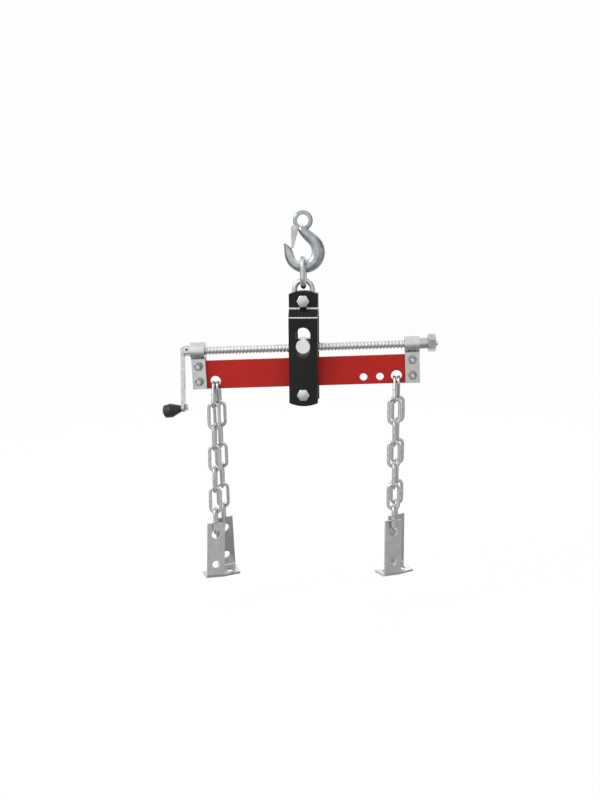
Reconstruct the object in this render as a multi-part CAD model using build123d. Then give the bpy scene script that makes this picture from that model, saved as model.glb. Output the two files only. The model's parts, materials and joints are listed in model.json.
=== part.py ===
"""Engine load leveler: a beam with a cranked lead screw, hung from a hook by two slotted plates.

Millimetres, +Z up, X along the beam towards its nut end, -Y towards the viewer.
The origin is the centre of the hook's eye, from which everything hangs.
"""
from math import atan2, cos, degrees, radians, sin, sqrt, tan
import os

from build123d import *

# Clearances
loose_gap = 0.3
running_clearance = 0.05
hole_clearance = 0.5
slot_clearance = 0.2
side_clearance = 1.0

# Hook: an eye hook forged in one piece
eye_bore_diameter = 19.0
eye_outer_diameter = 34.0
eye_thickness = 10.0
eye_edge_radius = 3.5
hook_thickness = 18.0
bowl_outer_radius = 35.0
bowl_outer_centre = (2.5, -53.8)
bowl_inner_radius = 14.7
bowl_inner_centre = (-1.0, -53.6)
eye_wall = 0.8
neck_width = 18.5
neck_angle = 8.0
neck_thickness = 14.0
neck_centre = (0.0, -13.5)
shank_width = 20.0
shank_centre = (11.0, -27.6)
shank_angle = 41.0
tip_centre = (-32.5, -38.9)
tip_angle = 213.0
tip_width = 5.0
tip_thickness = 8.0
bowl_angles = (10.0, -40.0, -90.0, -140.0, -175.0)
taper_start = -90.0
taper_sweep = 160.0

# Latch across the hook's throat
latch_pivot = (-14.2, -13.0)
latch_lug_radius = 3.8
latch_pin_diameter = 4.0
latch_pin_head_diameter = 6.5
latch_pin_head_height = 1.5
latch_sheet = 1.6
latch_ear_radius = 6.0
latch_length = 32.4
latch_tip_depth = 3.0
latch_tip_width = 8.0

# Two welded suspension links
upper_link_wire = 10.0
upper_link_inner_length = 38.0
upper_link_inner_width = 22.0
lower_link_wire = 9.0
lower_link_inner_length = 36.7
lower_link_inner_width = 22.0

# Side plates, joggled at the top to close round the lower link
plate_width = 50.0
plate_thickness = 6.0
plate_top_margin = 17.5
plate_bottom_margin = 20.5
plate_end_rise = 5.5
plate_bolt_spacing = 161.2
plate_gap = 36.0
plate_top_gap = 12.0
joggle_start = 14.4
joggle_drop = 15.2
joggle_bend_radius = 3.0
slot_width = 25.0
slot_length = 51.4
slot_top_drop = 44.5

# Plate bolts, nuts and the spacer on the lower bolt
bolt_diameter = 12.0
bolt_across_flats = 19.0
bolt_head_height = 7.5
bolt_nut_height = 10.0
bolt_end_length = 4.0
spacer_diameter = 18.0

# Trunnion pins and the travelling nut
trunnion_spigot_diameter = 14.0
trunnion_spigot_length = 6.0
trunnion_proud = 3.0
trunnion_corner = 0.5
trunnion_float = 6.5
trunnion_rise = 4.0
nut_length = 38.0
nut_height = 32.0
nut_corner = 3.0

# Beam: a flat bar below the screw
beam_tilt = 2.0
beam_middle = -0.5
beam_length = 400.0
beam_height = 50.0
beam_thickness = 8.0
beam_drop = 18.3
beam_corner = 0.75
chain_hole_diameter = 19.0
chain_hole_gap = 15.5
chain_hole_rise = 13.2
spare_hole_diameter = 13.4
spare_hole_rise = 12.3
spare_hole_step = 28.6
spare_hole_count = 2

# Lead screw, its bushes and the straps that carry them
screw_diameter = 16.0
screw_end_diameter = 12.0
screw_crank_diameter = 10.0
screw_end_proud = 3.4
bush_diameter = 24.0
bush_proud = 0.6
strap_width = 25.0
strap_thickness = 3.0
strap_blend_radius = 3.0
strap_bolt_diameter = 8.0
strap_bolt_across_flats = 13.0
strap_bolt_head_height = 5.3
strap_nut_height = 6.5
strap_bolt_end_length = 2.5
strap_bolt_drop = 9.0
strap_bolt_spacing = 27.3

# Right end of the screw: thrust collar and nut
collar_diameter = 20.0
collar_width = 14.0
collar_pin_diameter = 4.0
end_nut_across_flats = 27.0
end_nut_width = 14.0

# Crank and knob
crank_radius = 103.5
crank_swing = 25.0
crank_arm_width = 14.0
crank_arm_thickness = 5.5
crank_lean = 2.2
crank_hub_size = 16.0
crank_hub_width = 12.0
crank_hub_corner = 3.0
crank_pin_diameter = 4.0
crank_knob_hole = 7.6
knob_bolt_diameter = 6.0
knob_bolt_across_flats = 10.0
knob_bolt_head_height = 4.0
knob_bolt_grip = 18.0
knob_droop = 8.0
knob_length = 33.0
knob_neck_diameter = 11.0
knob_diameter = 24.5
knob_belly = 17.5
knob_end_diameter = 22.0
knob_dome = 4.0
knob_edge_radius = 1.5

# Chains: two at each end of the beam
link_wire = 6.0
link_inner_length = 38.8
link_inner_width = 12.5
links_per_chain = 7
chain_pair_offset = 7.0
chain_hook_offset = 0.8
chain_seat_clearance = 0.4
chain_lean = 18.0

# Foot brackets at the chains' ends
bracket_width = 32.5
bracket_height = 102.0
bracket_thickness = 4.0
bracket_foot_length = 38.0
bracket_bend_radius = 3.0
bracket_hole_diameter = 13.5
bracket_hole_drop = 76.0
bracket_foot_hole_reach = 24.0
bracket_chain_hole_diameter = 16.5
bracket_chain_hole_drop = 20.5
bracket_seat_clearance = 2.2
left_bracket_twist = 24.0
right_bracket_twist = 28.0
bracket_tilt = 3.5
bracket_depth_spread = 38.0
bracket_pair_gap = 0.8

# Levels that follow, each measured from the eye's centre
bowl_bottom = bowl_inner_centre[1] - bowl_inner_radius
upper_link_top = bowl_bottom + loose_gap + upper_link_wire / 2
upper_link_bottom = upper_link_top - upper_link_inner_length - upper_link_wire
lower_link_top = upper_link_bottom + upper_link_wire / 2 + loose_gap + lower_link_wire / 2
lower_link_bottom = lower_link_top - lower_link_inner_length - lower_link_wire
top_bolt_level = lower_link_bottom + lower_link_wire / 2 + loose_gap + bolt_diameter / 2
low_bolt_level = top_bolt_level - plate_bolt_spacing
plate_top = top_bolt_level + plate_top_margin
plate_bottom = low_bolt_level - plate_bottom_margin
slot_top = top_bolt_level - slot_top_drop
slot_bottom = slot_top - slot_length
trunnion_level = slot_bottom + slot_width / 2 + trunnion_float

# Places on the beam, measured from the trunnion's axis along the screw
beam_left = beam_middle - beam_length / 2
beam_right = beam_middle + beam_length / 2
beam_bottom = -beam_drop - beam_height
chain_hole_inset = strap_width + chain_hole_gap
high_strap_bolt = -beam_drop - strap_bolt_drop
strap_bolt_levels = (high_strap_bolt, high_strap_bolt - strap_bolt_spacing)
hub_right = beam_left - bush_proud - loose_gap
hub_left = hub_right - crank_hub_width
collar_left = beam_right + loose_gap
collar_right = collar_left + collar_width
end_nut_right = collar_right + end_nut_width
nut_width = plate_gap - 2 * side_clearance
beam_frame = Pos(0, 0, trunnion_level) * Rot(0, -beam_tilt, 0) * Pos(0, 0, -trunnion_rise)
crank_frame = beam_frame * Rot(-crank_swing, 0, 0)
arm_frame = crank_frame * Pos(hub_left, 0, crank_hub_size / 2) * Rot(0, -crank_lean, 0)
arm_frame *= Pos(-crank_arm_thickness / 2, 0, -crank_hub_size / 2)
knob_frame = arm_frame * Pos(0, 0, -crank_radius) * Rot(0, -knob_droop, 0)

# Places in the chains
link_bend_radius = (link_inner_width + link_wire) / 2
link_bend_spacing = link_inner_length - link_inner_width
link_pitch = link_inner_length - loose_gap
bracket_hole_centre = link_wire / 2 + bracket_seat_clearance - bracket_chain_hole_diameter / 2
bracket_top = bracket_hole_centre + bracket_chain_hole_drop
bracket_bottom = bracket_top - bracket_height
BRACKET_TWISTS = {"left": left_bracket_twist, "right": right_bracket_twist}
END_SIGNS = {"left": -1, "right": 1}
SIDE_SIGNS = {"front": -1, "back": 1}
UPRIGHT = (Align.CENTER, Align.CENTER, Align.MIN)


def rod(diameter, start, end):
    """Cylinder along Y between two places."""
    return Pos(0, start, 0) * Rot(-90, 0, 0) * Cylinder(diameter / 2, end - start, align=UPRIGHT)


def bar(diameter, start, end):
    """Cylinder along X between two places."""
    return Pos(start, 0, 0) * Rot(0, 90, 0) * Cylinder(diameter / 2, end - start, align=UPRIGHT)


def hexagon(across_flats, start, height):
    """Hexagonal prism along Y from a place, two of its corners on X."""
    blank = extrude(RegularPolygon(across_flats / sqrt(3), 6), height)
    return Pos(0, start, 0) * Rot(-90, 0, 0) * blank


def ring_link(wire, inner_length, inner_width):
    """Welded link in the XZ plane, centred, its length along Z."""
    radius = (inner_width + wire) / 2
    half = (inner_length - inner_width) / 2
    section = Pos(radius, 0, half) * Circle(wire / 2)
    top = revolve(section, Axis((0, 0, half), (0, -1, 0)), 180)
    side = Pos(radius, 0, -half) * extrude(Circle(wire / 2), 2 * half)
    half_link = top + side
    return half_link + Rot(0, 180, 0) * half_link


def bowl_reach(angle):
    """Distance from the bowl's inner centre to its outer circle."""
    shift_x = bowl_inner_centre[0] - bowl_outer_centre[0]
    shift_z = bowl_inner_centre[1] - bowl_outer_centre[1]
    along = shift_x * cos(radians(angle)) + shift_z * sin(radians(angle))
    return sqrt(along**2 + bowl_outer_radius**2 - shift_x**2 - shift_z**2) - along


def hook_section(centre, outward, width, thickness):
    """Oval across the hook, its width along the outward direction."""
    out_x = cos(radians(outward))
    out_z = sin(radians(outward))
    plane = Plane((centre[0], 0, centre[1]), x_dir=(out_x, 0, out_z), z_dir=(-out_z, 0, out_x))
    return plane * Ellipse(width / 2, thickness / 2)


def bowl_section(angle):
    """Oval across the bowl, from its inner to its outer circle, thinner towards the tip."""
    taper = max(0, taper_start - angle) / taper_sweep
    thickness = hook_thickness + taper * (tip_thickness - hook_thickness)
    outer = bowl_reach(angle)
    middle = (outer + bowl_inner_radius) / 2
    centre = (bowl_inner_centre[0] + middle * cos(radians(angle)),
              bowl_inner_centre[1] + middle * sin(radians(angle)))
    return hook_section(centre, angle, outer - bowl_inner_radius, thickness)


def make_hook():
    """Eye, neck, swept bowl, tapered tip and latch lug in one forging."""
    sections = [hook_section((0, -eye_bore_diameter / 2 - eye_wall), 0, neck_width, eye_thickness),
                hook_section(neck_centre, neck_angle, neck_width, neck_thickness),
                hook_section(shank_centre, shank_angle, shank_width, hook_thickness)]
    sections += [bowl_section(angle) for angle in bowl_angles]
    sections += [hook_section(tip_centre, tip_angle, tip_width, tip_thickness)]
    eye = rod(eye_outer_diameter, -eye_thickness / 2, eye_thickness / 2)
    eye = fillet(eye.edges().filter_by(GeomType.CIRCLE), eye_edge_radius)
    lug_reach = neck_centre[0] - latch_pivot[0]
    lug = rod(2 * latch_lug_radius, -eye_thickness / 2, eye_thickness / 2)
    lug += Pos(lug_reach / 2, 0, 0) * Box(lug_reach, eye_thickness, 2 * latch_lug_radius)
    forging = loft(sections) + eye + Pos(latch_pivot[0], 0, latch_pivot[1]) * lug
    bore = rod(eye_bore_diameter, -eye_thickness, eye_thickness)
    pin_hole = rod(latch_pin_diameter + 2 * running_clearance, -hook_thickness, hook_thickness)
    return forging - bore - Pos(latch_pivot[0], 0, latch_pivot[1]) * pin_hole


def make_latch():
    """Folded strap: two ears on the pin and a web that narrows to the tip."""
    half_width = eye_thickness / 2 + loose_gap + latch_sheet
    ear = make_hull(Edge.make_circle(latch_ear_radius).edges()
                    + (Pos(-latch_ear_radius + latch_tip_depth / 2, -latch_length)
                       * Edge.make_circle(latch_tip_depth / 2)).edges())
    body = extrude(Plane.XZ * ear, half_width, both=True)
    channel_width = 2 * (half_width - latch_sheet)
    channel = Pos(latch_sheet, 0, 0) * Box(2 * latch_ear_radius, channel_width, 3 * latch_length)
    top_cut = Pos(0, 0, latch_ear_radius) * Box(4 * latch_ear_radius, channel_width, 2 * latch_ear_radius)
    taper = Polyline((-half_width, latch_ear_radius), (half_width, latch_ear_radius), (half_width, 0),
                     (latch_tip_width / 2, -latch_length - latch_tip_depth),
                     (-latch_tip_width / 2, -latch_length - latch_tip_depth), (-half_width, 0), close=True)
    outline = extrude(Plane.YZ * make_face(taper), 2 * latch_ear_radius, both=True)
    pin_hole = rod(latch_pin_diameter + 2 * running_clearance, -hook_thickness, hook_thickness)
    folded = (body - channel - top_cut) & outline
    return Pos(latch_pivot[0], 0, latch_pivot[1]) * (folded - pin_hole)


def make_latch_pin():
    """Rivet through the latch's ears and the hook's lug."""
    half_width = eye_thickness / 2 + loose_gap + latch_sheet + slot_clearance
    pin = rod(latch_pin_diameter, -half_width, half_width)
    for start in (-half_width - latch_pin_head_height, half_width):
        pin += rod(latch_pin_head_diameter, start, start + latch_pin_head_height)
    return Pos(latch_pivot[0], 0, latch_pivot[1]) * pin


def make_plate():
    """Back side plate: joggled strip with domed ends, two bolt holes and the trunnion slot."""
    top_face = plate_top_gap / 2
    low_face = plate_gap / 2
    bend_high = top_bolt_level - joggle_start
    bend_low = bend_high - joggle_drop
    slope = atan2(low_face - top_face, joggle_drop)
    lift = plate_thickness * tan(slope / 2)
    top_outer = top_face + plate_thickness
    low_outer = low_face + plate_thickness
    strip = Polyline((top_face, plate_top), (top_face, bend_high), (low_face, bend_low),
                     (low_face, plate_bottom), (low_outer, plate_bottom), (low_outer, bend_low + lift),
                     (top_outer, bend_high + lift), (top_outer, plate_top), close=True)
    blank = extrude(Plane.YZ * make_face(strip), plate_width / 2, both=True)
    bends = blank.edges().filter_by(Axis.X).filter_by_position(Axis.Z, bend_low - 1, bend_high + lift + 1)
    blank = fillet(bends, joggle_bend_radius)
    half = plate_width / 2
    high_corner = plate_top - plate_end_rise
    low_corner = plate_bottom + plate_end_rise
    outline = Line((-half, low_corner), (-half, high_corner))
    outline += ThreePointArc((-half, high_corner), (0, plate_top), (half, high_corner))
    outline += Line((half, high_corner), (half, low_corner))
    outline += ThreePointArc((half, low_corner), (0, plate_bottom), (-half, low_corner))
    plate = blank & extrude(Plane.XZ * make_face(outline), 2 * plate_gap, both=True)
    slot = Pos(0, 0, (slot_top + slot_bottom) / 2) * Rot(90, 0, 0) * Rot(0, 0, 90) * extrude(
        SlotOverall(slot_length, slot_width), 2 * plate_gap, both=True)
    bolt_hole = rod(bolt_diameter + hole_clearance, 0, 2 * plate_gap)
    return plate - slot - Pos(0, 0, top_bolt_level) * bolt_hole - Pos(0, 0, low_bolt_level) * bolt_hole


def make_bolt(diameter, across_flats, head_height, grip, end_length):
    """Bolt along +Y whose head ends at the origin."""
    shank = rod(diameter, -head_height / 2, grip + end_length)
    return hexagon(across_flats, -head_height, head_height) + shank


def make_nut(diameter, across_flats, height):
    """Nut along +Y from the origin."""
    return hexagon(across_flats, 0, height) - rod(diameter + 2 * running_clearance, -height, 2 * height)


def plate_bolt_places():
    """Level and outer face of the plates at each plate bolt."""
    return [(top_bolt_level, plate_top_gap / 2 + plate_thickness),
            (low_bolt_level, plate_gap / 2 + plate_thickness)]


def make_plate_bolts():
    """Two hexagon bolts, heads to the front."""
    bolts = []
    for level, face in plate_bolt_places():
        end_length = bolt_nut_height + bolt_end_length
        bolt = make_bolt(bolt_diameter, bolt_across_flats, bolt_head_height, 2 * face, end_length)
        bolts.append(Pos(0, -face, level) * bolt)
    return Compound(bolts)


def make_plate_nuts():
    """Nuts on the plate bolts, at the back."""
    nut = make_nut(bolt_diameter, bolt_across_flats, bolt_nut_height)
    return Compound([Pos(0, face, level) * nut for level, face in plate_bolt_places()])


def make_spacer():
    """Sleeve on the lower bolt that holds the plates apart."""
    half = plate_gap / 2
    sleeve = rod(spacer_diameter, -half, half) - rod(bolt_diameter + hole_clearance, -half, half)
    return Pos(0, 0, low_bolt_level) * sleeve


def make_trunnion_pins():
    """Two stepped pins: the large end rides in a plate's slot, the spigot in the travelling nut."""
    face = nut_width / 2 + slot_clearance
    outer = plate_gap / 2 + plate_thickness + trunnion_proud
    pin = rod(slot_width - 2 * slot_clearance, face, outer)
    pin = chamfer(pin.edges().sort_by(Axis.Y)[-1], trunnion_corner)
    pin += rod(trunnion_spigot_diameter, face - trunnion_spigot_length, face)
    back = Pos(0, 0, trunnion_level) * pin
    return Compound([back, mirror(back, Plane.XZ)])


def make_screw_nut():
    """Block threaded on the screw, bored on both sides for the trunnion pins."""
    block = Box(nut_length, nut_width, nut_height)
    block = chamfer(block.edges().filter_by(Axis.X), nut_corner)
    block -= bar(screw_diameter + 2 * running_clearance, -nut_length, nut_length)
    depth = trunnion_spigot_length - slot_clearance + loose_gap
    for side in SIDE_SIGNS.values():
        socket = rod(trunnion_spigot_diameter + 2 * running_clearance, 0, depth + 1)
        block -= Rot(0, 0, 90 - 90 * side) * Pos(0, nut_width / 2 - depth, trunnion_rise) * socket
    return beam_frame * block


def chain_hole_x(end):
    """Place of a chain hole along the beam."""
    return beam_middle + END_SIGNS[end] * (beam_length / 2 - chain_hole_inset)


def spare_hole_x(number):
    """Place of a spare hole along the beam, counted inwards from the right chain hole."""
    return chain_hole_x("right") - number * spare_hole_step


def strap_middle(end):
    """Place of a strap's middle along the beam."""
    return beam_middle + END_SIGNS[end] * (beam_length - strap_width) / 2


def strap_bolt_places():
    """Places of the strap bolts along and below the screw."""
    return [(strap_middle(end), level) for end in END_SIGNS for level in strap_bolt_levels]


def make_beam():
    """Flat bar with a chain hole at each end, two spare holes and the strap bolts' holes."""
    blank = Pos(beam_middle, 0, beam_bottom + beam_height / 2) * Box(beam_length, beam_thickness, beam_height)
    blank = chamfer(blank.edges().filter_by(Axis.X), beam_corner)
    holes = [(chain_hole_x(end), beam_bottom + chain_hole_rise, chain_hole_diameter) for end in END_SIGNS]
    holes += [(spare_hole_x(number), beam_bottom + spare_hole_rise, spare_hole_diameter)
              for number in range(1, spare_hole_count + 1)]
    holes += [(x, z, strap_bolt_diameter + hole_clearance) for x, z in strap_bolt_places()]
    for x, z, diameter in holes:
        blank -= Pos(x, 0, z) * rod(diameter, -beam_thickness, beam_thickness)
    return beam_frame * blank


def make_strap(end):
    """Strip bent round the bush, its two legs clasping the bar."""
    inner_radius = bush_diameter / 2
    outer_radius = inner_radius + strap_thickness
    inner_leg = beam_thickness / 2
    outer_leg = inner_leg + strap_thickness
    inner_neck = -sqrt(inner_radius**2 - inner_leg**2)
    outer_neck = -sqrt(outer_radius**2 - outer_leg**2)
    outline = Polyline((-outer_leg, outer_neck), (-outer_leg, beam_bottom), (-inner_leg, beam_bottom),
                       (-inner_leg, inner_neck))
    outline += ThreePointArc((-inner_leg, inner_neck), (0, inner_radius), (inner_leg, inner_neck))
    outline += Polyline((inner_leg, inner_neck), (inner_leg, beam_bottom), (outer_leg, beam_bottom),
                        (outer_leg, outer_neck))
    outline += ThreePointArc((outer_leg, outer_neck), (0, outer_radius), (-outer_leg, outer_neck))
    strap = extrude(Plane.YZ * make_face(outline), strap_width / 2, both=True)
    creases = strap.edges().filter_by(Axis.X).filter_by_position(Axis.Z, outer_neck - 1, outer_neck + 1)
    strap = fillet(creases, strap_blend_radius)
    for level in strap_bolt_levels:
        hole = rod(strap_bolt_diameter + hole_clearance, -outer_radius, outer_radius)
        strap -= Pos(0, 0, level) * hole
    return beam_frame * Pos(strap_middle(end), 0, 0) * strap


def make_bush(end):
    """Plain bearing held in a strap, proud of it towards the crank on the left."""
    proud = bush_proud if end == "left" else 0
    start = strap_middle(end) - strap_width / 2 - proud
    finish = strap_middle(end) + strap_width / 2
    bush = bar(bush_diameter, start, finish) - bar(screw_diameter + 2 * running_clearance, start, finish)
    return beam_frame * bush


def make_strap_bolts():
    """Four bolts, heads at the back."""
    face = beam_thickness / 2 + strap_thickness
    bolt = make_bolt(strap_bolt_diameter, strap_bolt_across_flats, strap_bolt_head_height, 2 * face,
                     strap_nut_height + strap_bolt_end_length)
    turned = Pos(0, face, 0) * Rot(0, 0, 180) * bolt
    return beam_frame * Compound([Pos(x, 0, z) * turned for x, z in strap_bolt_places()])


def make_strap_nuts():
    """Nuts on the strap bolts, at the front."""
    face = beam_thickness / 2 + strap_thickness
    nut = make_nut(strap_bolt_diameter, strap_bolt_across_flats, strap_nut_height)
    turned = Pos(0, -face, 0) * Rot(0, 0, 180) * nut
    return beam_frame * Compound([Pos(x, 0, z) * turned for x, z in strap_bolt_places()])


def make_lead_screw():
    """Screw from the crank hub to its reduced end beyond the nut."""
    screw = bar(screw_diameter, hub_right, collar_right) + bar(screw_crank_diameter, hub_left, hub_right)
    screw += bar(screw_end_diameter, collar_right, end_nut_right + screw_end_proud)
    for x, diameter in ((hub_left + crank_hub_width / 2, crank_pin_diameter),
                        (collar_left + collar_pin_diameter, collar_pin_diameter)):
        screw -= Pos(x, 0, 0) * rod(diameter, -screw_diameter, screw_diameter)
    return crank_frame * screw


def make_thrust_collar():
    """Collar pinned to the screw against the right bush."""
    collar = bar(collar_diameter, collar_left, collar_right) - bar(screw_diameter, collar_left, collar_right)
    pin_hole = rod(collar_pin_diameter, -collar_diameter, collar_diameter)
    return crank_frame * (collar - Pos(collar_left + collar_pin_diameter, 0, 0) * pin_hole)


def make_collar_pin():
    """Pin through the collar and the screw."""
    half = collar_diameter / 2 - loose_gap
    return crank_frame * Pos(collar_left + collar_pin_diameter, 0, 0) * rod(collar_pin_diameter, -half, half)


def make_end_nut():
    """Large nut on the screw's reduced end."""
    nut = Rot(0, 0, -90) * make_nut(screw_end_diameter, end_nut_across_flats, end_nut_width)
    return crank_frame * Pos(collar_right, 0, 0) * nut


def make_crank():
    """Square hub welded to a flat arm that has round ends and leans in a little."""
    hub = Pos((hub_left + hub_right) / 2, 0, 0) * Box(crank_hub_width, crank_hub_size, crank_hub_size)
    hub = fillet(hub.edges().filter_by(Axis.X), crank_hub_corner)
    bore = bar(screw_crank_diameter + 2 * running_clearance, hub_left, hub_right)
    pin_hole = rod(crank_pin_diameter, -crank_hub_size, crank_hub_size)
    bore += Pos(hub_left + crank_hub_width / 2, 0, 0) * pin_hole
    arm_outline = Rot(0, 0, 90) * SlotCenterToCenter(crank_radius, crank_arm_width)
    arm_face = Plane.YZ * Pos(0, -crank_radius / 2) * arm_outline
    arm = extrude(arm_face, crank_arm_thickness / 2, both=True)
    arm -= Pos(0, 0, -crank_radius) * bar(crank_knob_hole, -crank_arm_thickness, crank_arm_thickness)
    return crank_frame * hub + arm_frame * arm - crank_frame * bore


def make_crank_pin():
    """Roll pin through the hub and the screw, a little below the hub's faces."""
    half = crank_hub_size / 2 - loose_gap
    pin = rod(crank_pin_diameter, -half, half) - rod(crank_pin_diameter / 2, -half, half)
    return crank_frame * Pos(hub_left + crank_hub_width / 2, 0, 0) * pin


def knob_seat():
    """Gap from the arm's middle to the knob, with room for the droop."""
    tipping = knob_neck_diameter / 2 * sin(radians(knob_droop))
    return crank_arm_thickness / 2 + tipping + loose_gap


def make_knob():
    """Turned grip: a cone that widens from the neck, a barrel, a domed end and a blind bore for its bolt."""
    start = -knob_seat()
    neck = knob_neck_diameter / 2
    finish = start - knob_length
    rim = (finish + knob_dome, knob_end_diameter / 2)
    profile = Polyline((finish, 0), (start, 0), (start, neck), (start - knob_belly, knob_diameter / 2), rim)
    profile += TangentArc((finish, 0), rim, tangent=(0, 1))
    grip = revolve(Plane.XZ * make_face(profile), Axis.X, 360)
    grip = fillet(grip.edges().filter_by(GeomType.CIRCLE).sort_by(Axis.X)[:2], knob_edge_radius)
    bore = bar(knob_bolt_diameter + 2 * running_clearance, start - knob_bolt_grip - loose_gap, start + 1)
    return knob_frame * (grip - bore)


def make_knob_bolt():
    """Bolt that carries the knob, loose in the arm's hole."""
    head_seat = crank_arm_thickness / 2 + knob_bolt_across_flats / 2 * sin(radians(knob_droop)) + loose_gap
    head = Rot(0, 0, -90) * hexagon(knob_bolt_across_flats, 0, knob_bolt_head_height)
    shank = bar(knob_bolt_diameter, -knob_seat() - knob_bolt_grip, head_seat + knob_bolt_head_height / 2)
    return knob_frame * (Pos(head_seat, 0, 0) * head + shank)


def first_link_place(end, side):
    """Middle of the upper bend of a chain's first link, hooked over the rim of the beam's hole."""
    sign = SIDE_SIGNS[side]
    hole_radius = chain_hole_diameter / 2
    shift = chain_pair_offset / 2
    rim_rise = hole_radius - sqrt(hole_radius**2 - (shift + link_wire / 4)**2)
    far_edge = beam_thickness / 2 + chain_hook_offset
    seat = sqrt((link_inner_width / 2 - chain_seat_clearance)**2 - far_edge**2)
    hole = beam_frame * Pos(chain_hole_x(end), 0, beam_bottom + chain_hole_rise - hole_radius + rim_rise)
    return hole.position + Vector(sign * shift, sign * chain_hook_offset, -seat)


def first_link_frame(end, side):
    """Frame at that bend, leaning out so that the pair of chains clear each other."""
    return Location(first_link_place(end, side)) * Rot(SIDE_SIGNS[side] * chain_lean, 0, 0)


def chain_start(end, side):
    """Middle of the wire at the first link's lower end, where the second link hangs."""
    low_bend = first_link_frame(end, side) * Pos(0, 0, -link_bend_spacing)
    return low_bend.position + Vector(0, 0, -link_bend_radius)


def bracket_spread(end):
    """Distance between a pair's chain ends that lets the tilted brackets' feet pass each other."""
    twist = radians(BRACKET_TWISTS[end])
    tilted = 2 * (bracket_bottom + bracket_thickness) * sin(radians(bracket_tilt))
    turned = bracket_depth_spread * sin(twist)
    return (bracket_width + bracket_pair_gap + tilted - turned) / cos(twist)


def chain_line(end, side):
    """Direction of the chain below its first link, towards its bracket."""
    sign = SIDE_SIGNS[side]
    start = chain_start(end, side)
    middle = (beam_frame * Pos(chain_hole_x(end), 0, beam_bottom + chain_hole_rise)).position
    run_x = middle.X + sign * bracket_spread(end) / 2 - start.X
    run_y = sign * bracket_depth_spread / 2 - start.Y
    length = (links_per_chain - 1) * link_pitch
    return Vector(run_x, run_y, -sqrt(length**2 - run_x**2 - run_y**2)) / length


def chain_frame(end, side, number):
    """Frame at the middle of the wire on which a link, or the bracket after the last one, hangs."""
    line = chain_line(end, side)
    place = chain_start(end, side) + line * (number - 2) * link_pitch
    return Plane(place, x_dir=(1, 0, 0), z_dir=line * -1).location


def make_chain_link(end, side, number):
    """One link; odd ones stand across the beam, even ones along it."""
    link = ring_link(link_wire, link_inner_length, link_inner_width)
    if number == 1:
        return first_link_frame(end, side) * Pos(0, 0, -link_bend_spacing / 2) * Rot(0, 0, 90) * link
    hang = link_wire + loose_gap - link_bend_radius - link_bend_spacing / 2
    return chain_frame(end, side, number) * Pos(0, 0, hang) * Rot(0, 0, 90 * (number % 2)) * link


def make_bracket_blank():
    """Angle bracket hung at the origin by its chain hole, its foot towards +Y."""
    near = -bracket_thickness / 2
    far = near + bracket_foot_length
    foot_top = bracket_bottom + bracket_thickness
    angle = Polyline((near, bracket_top), (-near, bracket_top), (-near, foot_top), (far, foot_top),
                     (far, bracket_bottom), (near, bracket_bottom), close=True)
    blank = extrude(Plane.YZ * make_face(angle), bracket_width / 2, both=True)
    inner_bend = blank.edges().filter_by(Axis.X).sort_by_distance((0, -near, foot_top))[0]
    blank = fillet(inner_bend, bracket_bend_radius)
    outer_bend = blank.edges().filter_by(Axis.X).sort_by_distance((0, near, bracket_bottom))[0]
    blank = fillet(outer_bend, bracket_bend_radius + bracket_thickness)
    chain_hole = rod(bracket_chain_hole_diameter, -bracket_thickness, bracket_thickness)
    bolt_hole = rod(bracket_hole_diameter, -bracket_thickness, bracket_thickness)
    foot_hole = Cylinder(bracket_hole_diameter / 2, 4 * bracket_thickness)
    blank -= Pos(0, 0, bracket_hole_centre) * chain_hole
    blank -= Pos(0, 0, bracket_top - bracket_hole_drop) * bolt_hole
    return blank - Pos(0, near + bracket_foot_hole_reach, bracket_bottom) * foot_hole


def bracket_frame(end, side):
    """Frame of a bracket: its weight below the chain, its foot turned past its neighbour's."""
    weight = make_bracket_blank().center(CenterOf.MASS)
    lean = degrees(atan2(weight.Y, -weight.Z))
    turn = BRACKET_TWISTS[end] if side == "front" else BRACKET_TWISTS[end] + 180
    place = chain_frame(end, side, links_per_chain + 1).position
    return Location(place) * Rot(0, 0, turn) * Rot(-lean, 0, 0) * Rot(0, bracket_tilt, 0)


def make_parts():
    """All nodes by name."""
    back_plate = make_plate()
    upper_middle = (upper_link_top + upper_link_bottom) / 2
    lower_middle = (lower_link_top + lower_link_bottom) / 2
    upper_link = ring_link(upper_link_wire, upper_link_inner_length, upper_link_inner_width)
    lower_link = ring_link(lower_link_wire, lower_link_inner_length, lower_link_inner_width)
    parts = {"hook": make_hook(), "latch": make_latch(), "latch_pin": make_latch_pin(),
             "upper_link": Pos(0, 0, upper_middle) * Rot(0, 0, 90) * upper_link,
             "lower_link": Pos(0, 0, lower_middle) * lower_link,
             "front_plate": mirror(back_plate, Plane.XZ), "back_plate": back_plate,
             "plate_bolts": make_plate_bolts(), "plate_nuts": make_plate_nuts(), "spacer": make_spacer(),
             "trunnion_pins": make_trunnion_pins(), "screw_nut": make_screw_nut(), "beam": make_beam(),
             "strap_bolts": make_strap_bolts(), "strap_nuts": make_strap_nuts(),
             "lead_screw": make_lead_screw(), "thrust_collar": make_thrust_collar(),
             "collar_pin": make_collar_pin(), "end_nut": make_end_nut(), "crank": make_crank(),
             "crank_pin": make_crank_pin(), "knob": make_knob(), "knob_bolt": make_knob_bolt()}
    for end in END_SIGNS:
        parts[f"{end}_strap"] = make_strap(end)
        parts[f"{end}_bush"] = make_bush(end)
        for side in SIDE_SIGNS:
            for number in range(1, links_per_chain + 1):
                parts[f"{end}_{side}_link_{number}"] = make_chain_link(end, side, number)
            parts[f"{end}_{side}_bracket"] = bracket_frame(end, side) * make_bracket_blank()
    return parts


os.makedirs("parts", exist_ok=True)
for node_name, node_shape in make_parts().items():
    export_step(node_shape, f"parts/{node_name}.step")
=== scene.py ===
"""Engine load leveler: looks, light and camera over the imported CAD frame, in metres."""
import json
from collections import namedtuple
from math import cos, pi, radians, sin, tan

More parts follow.
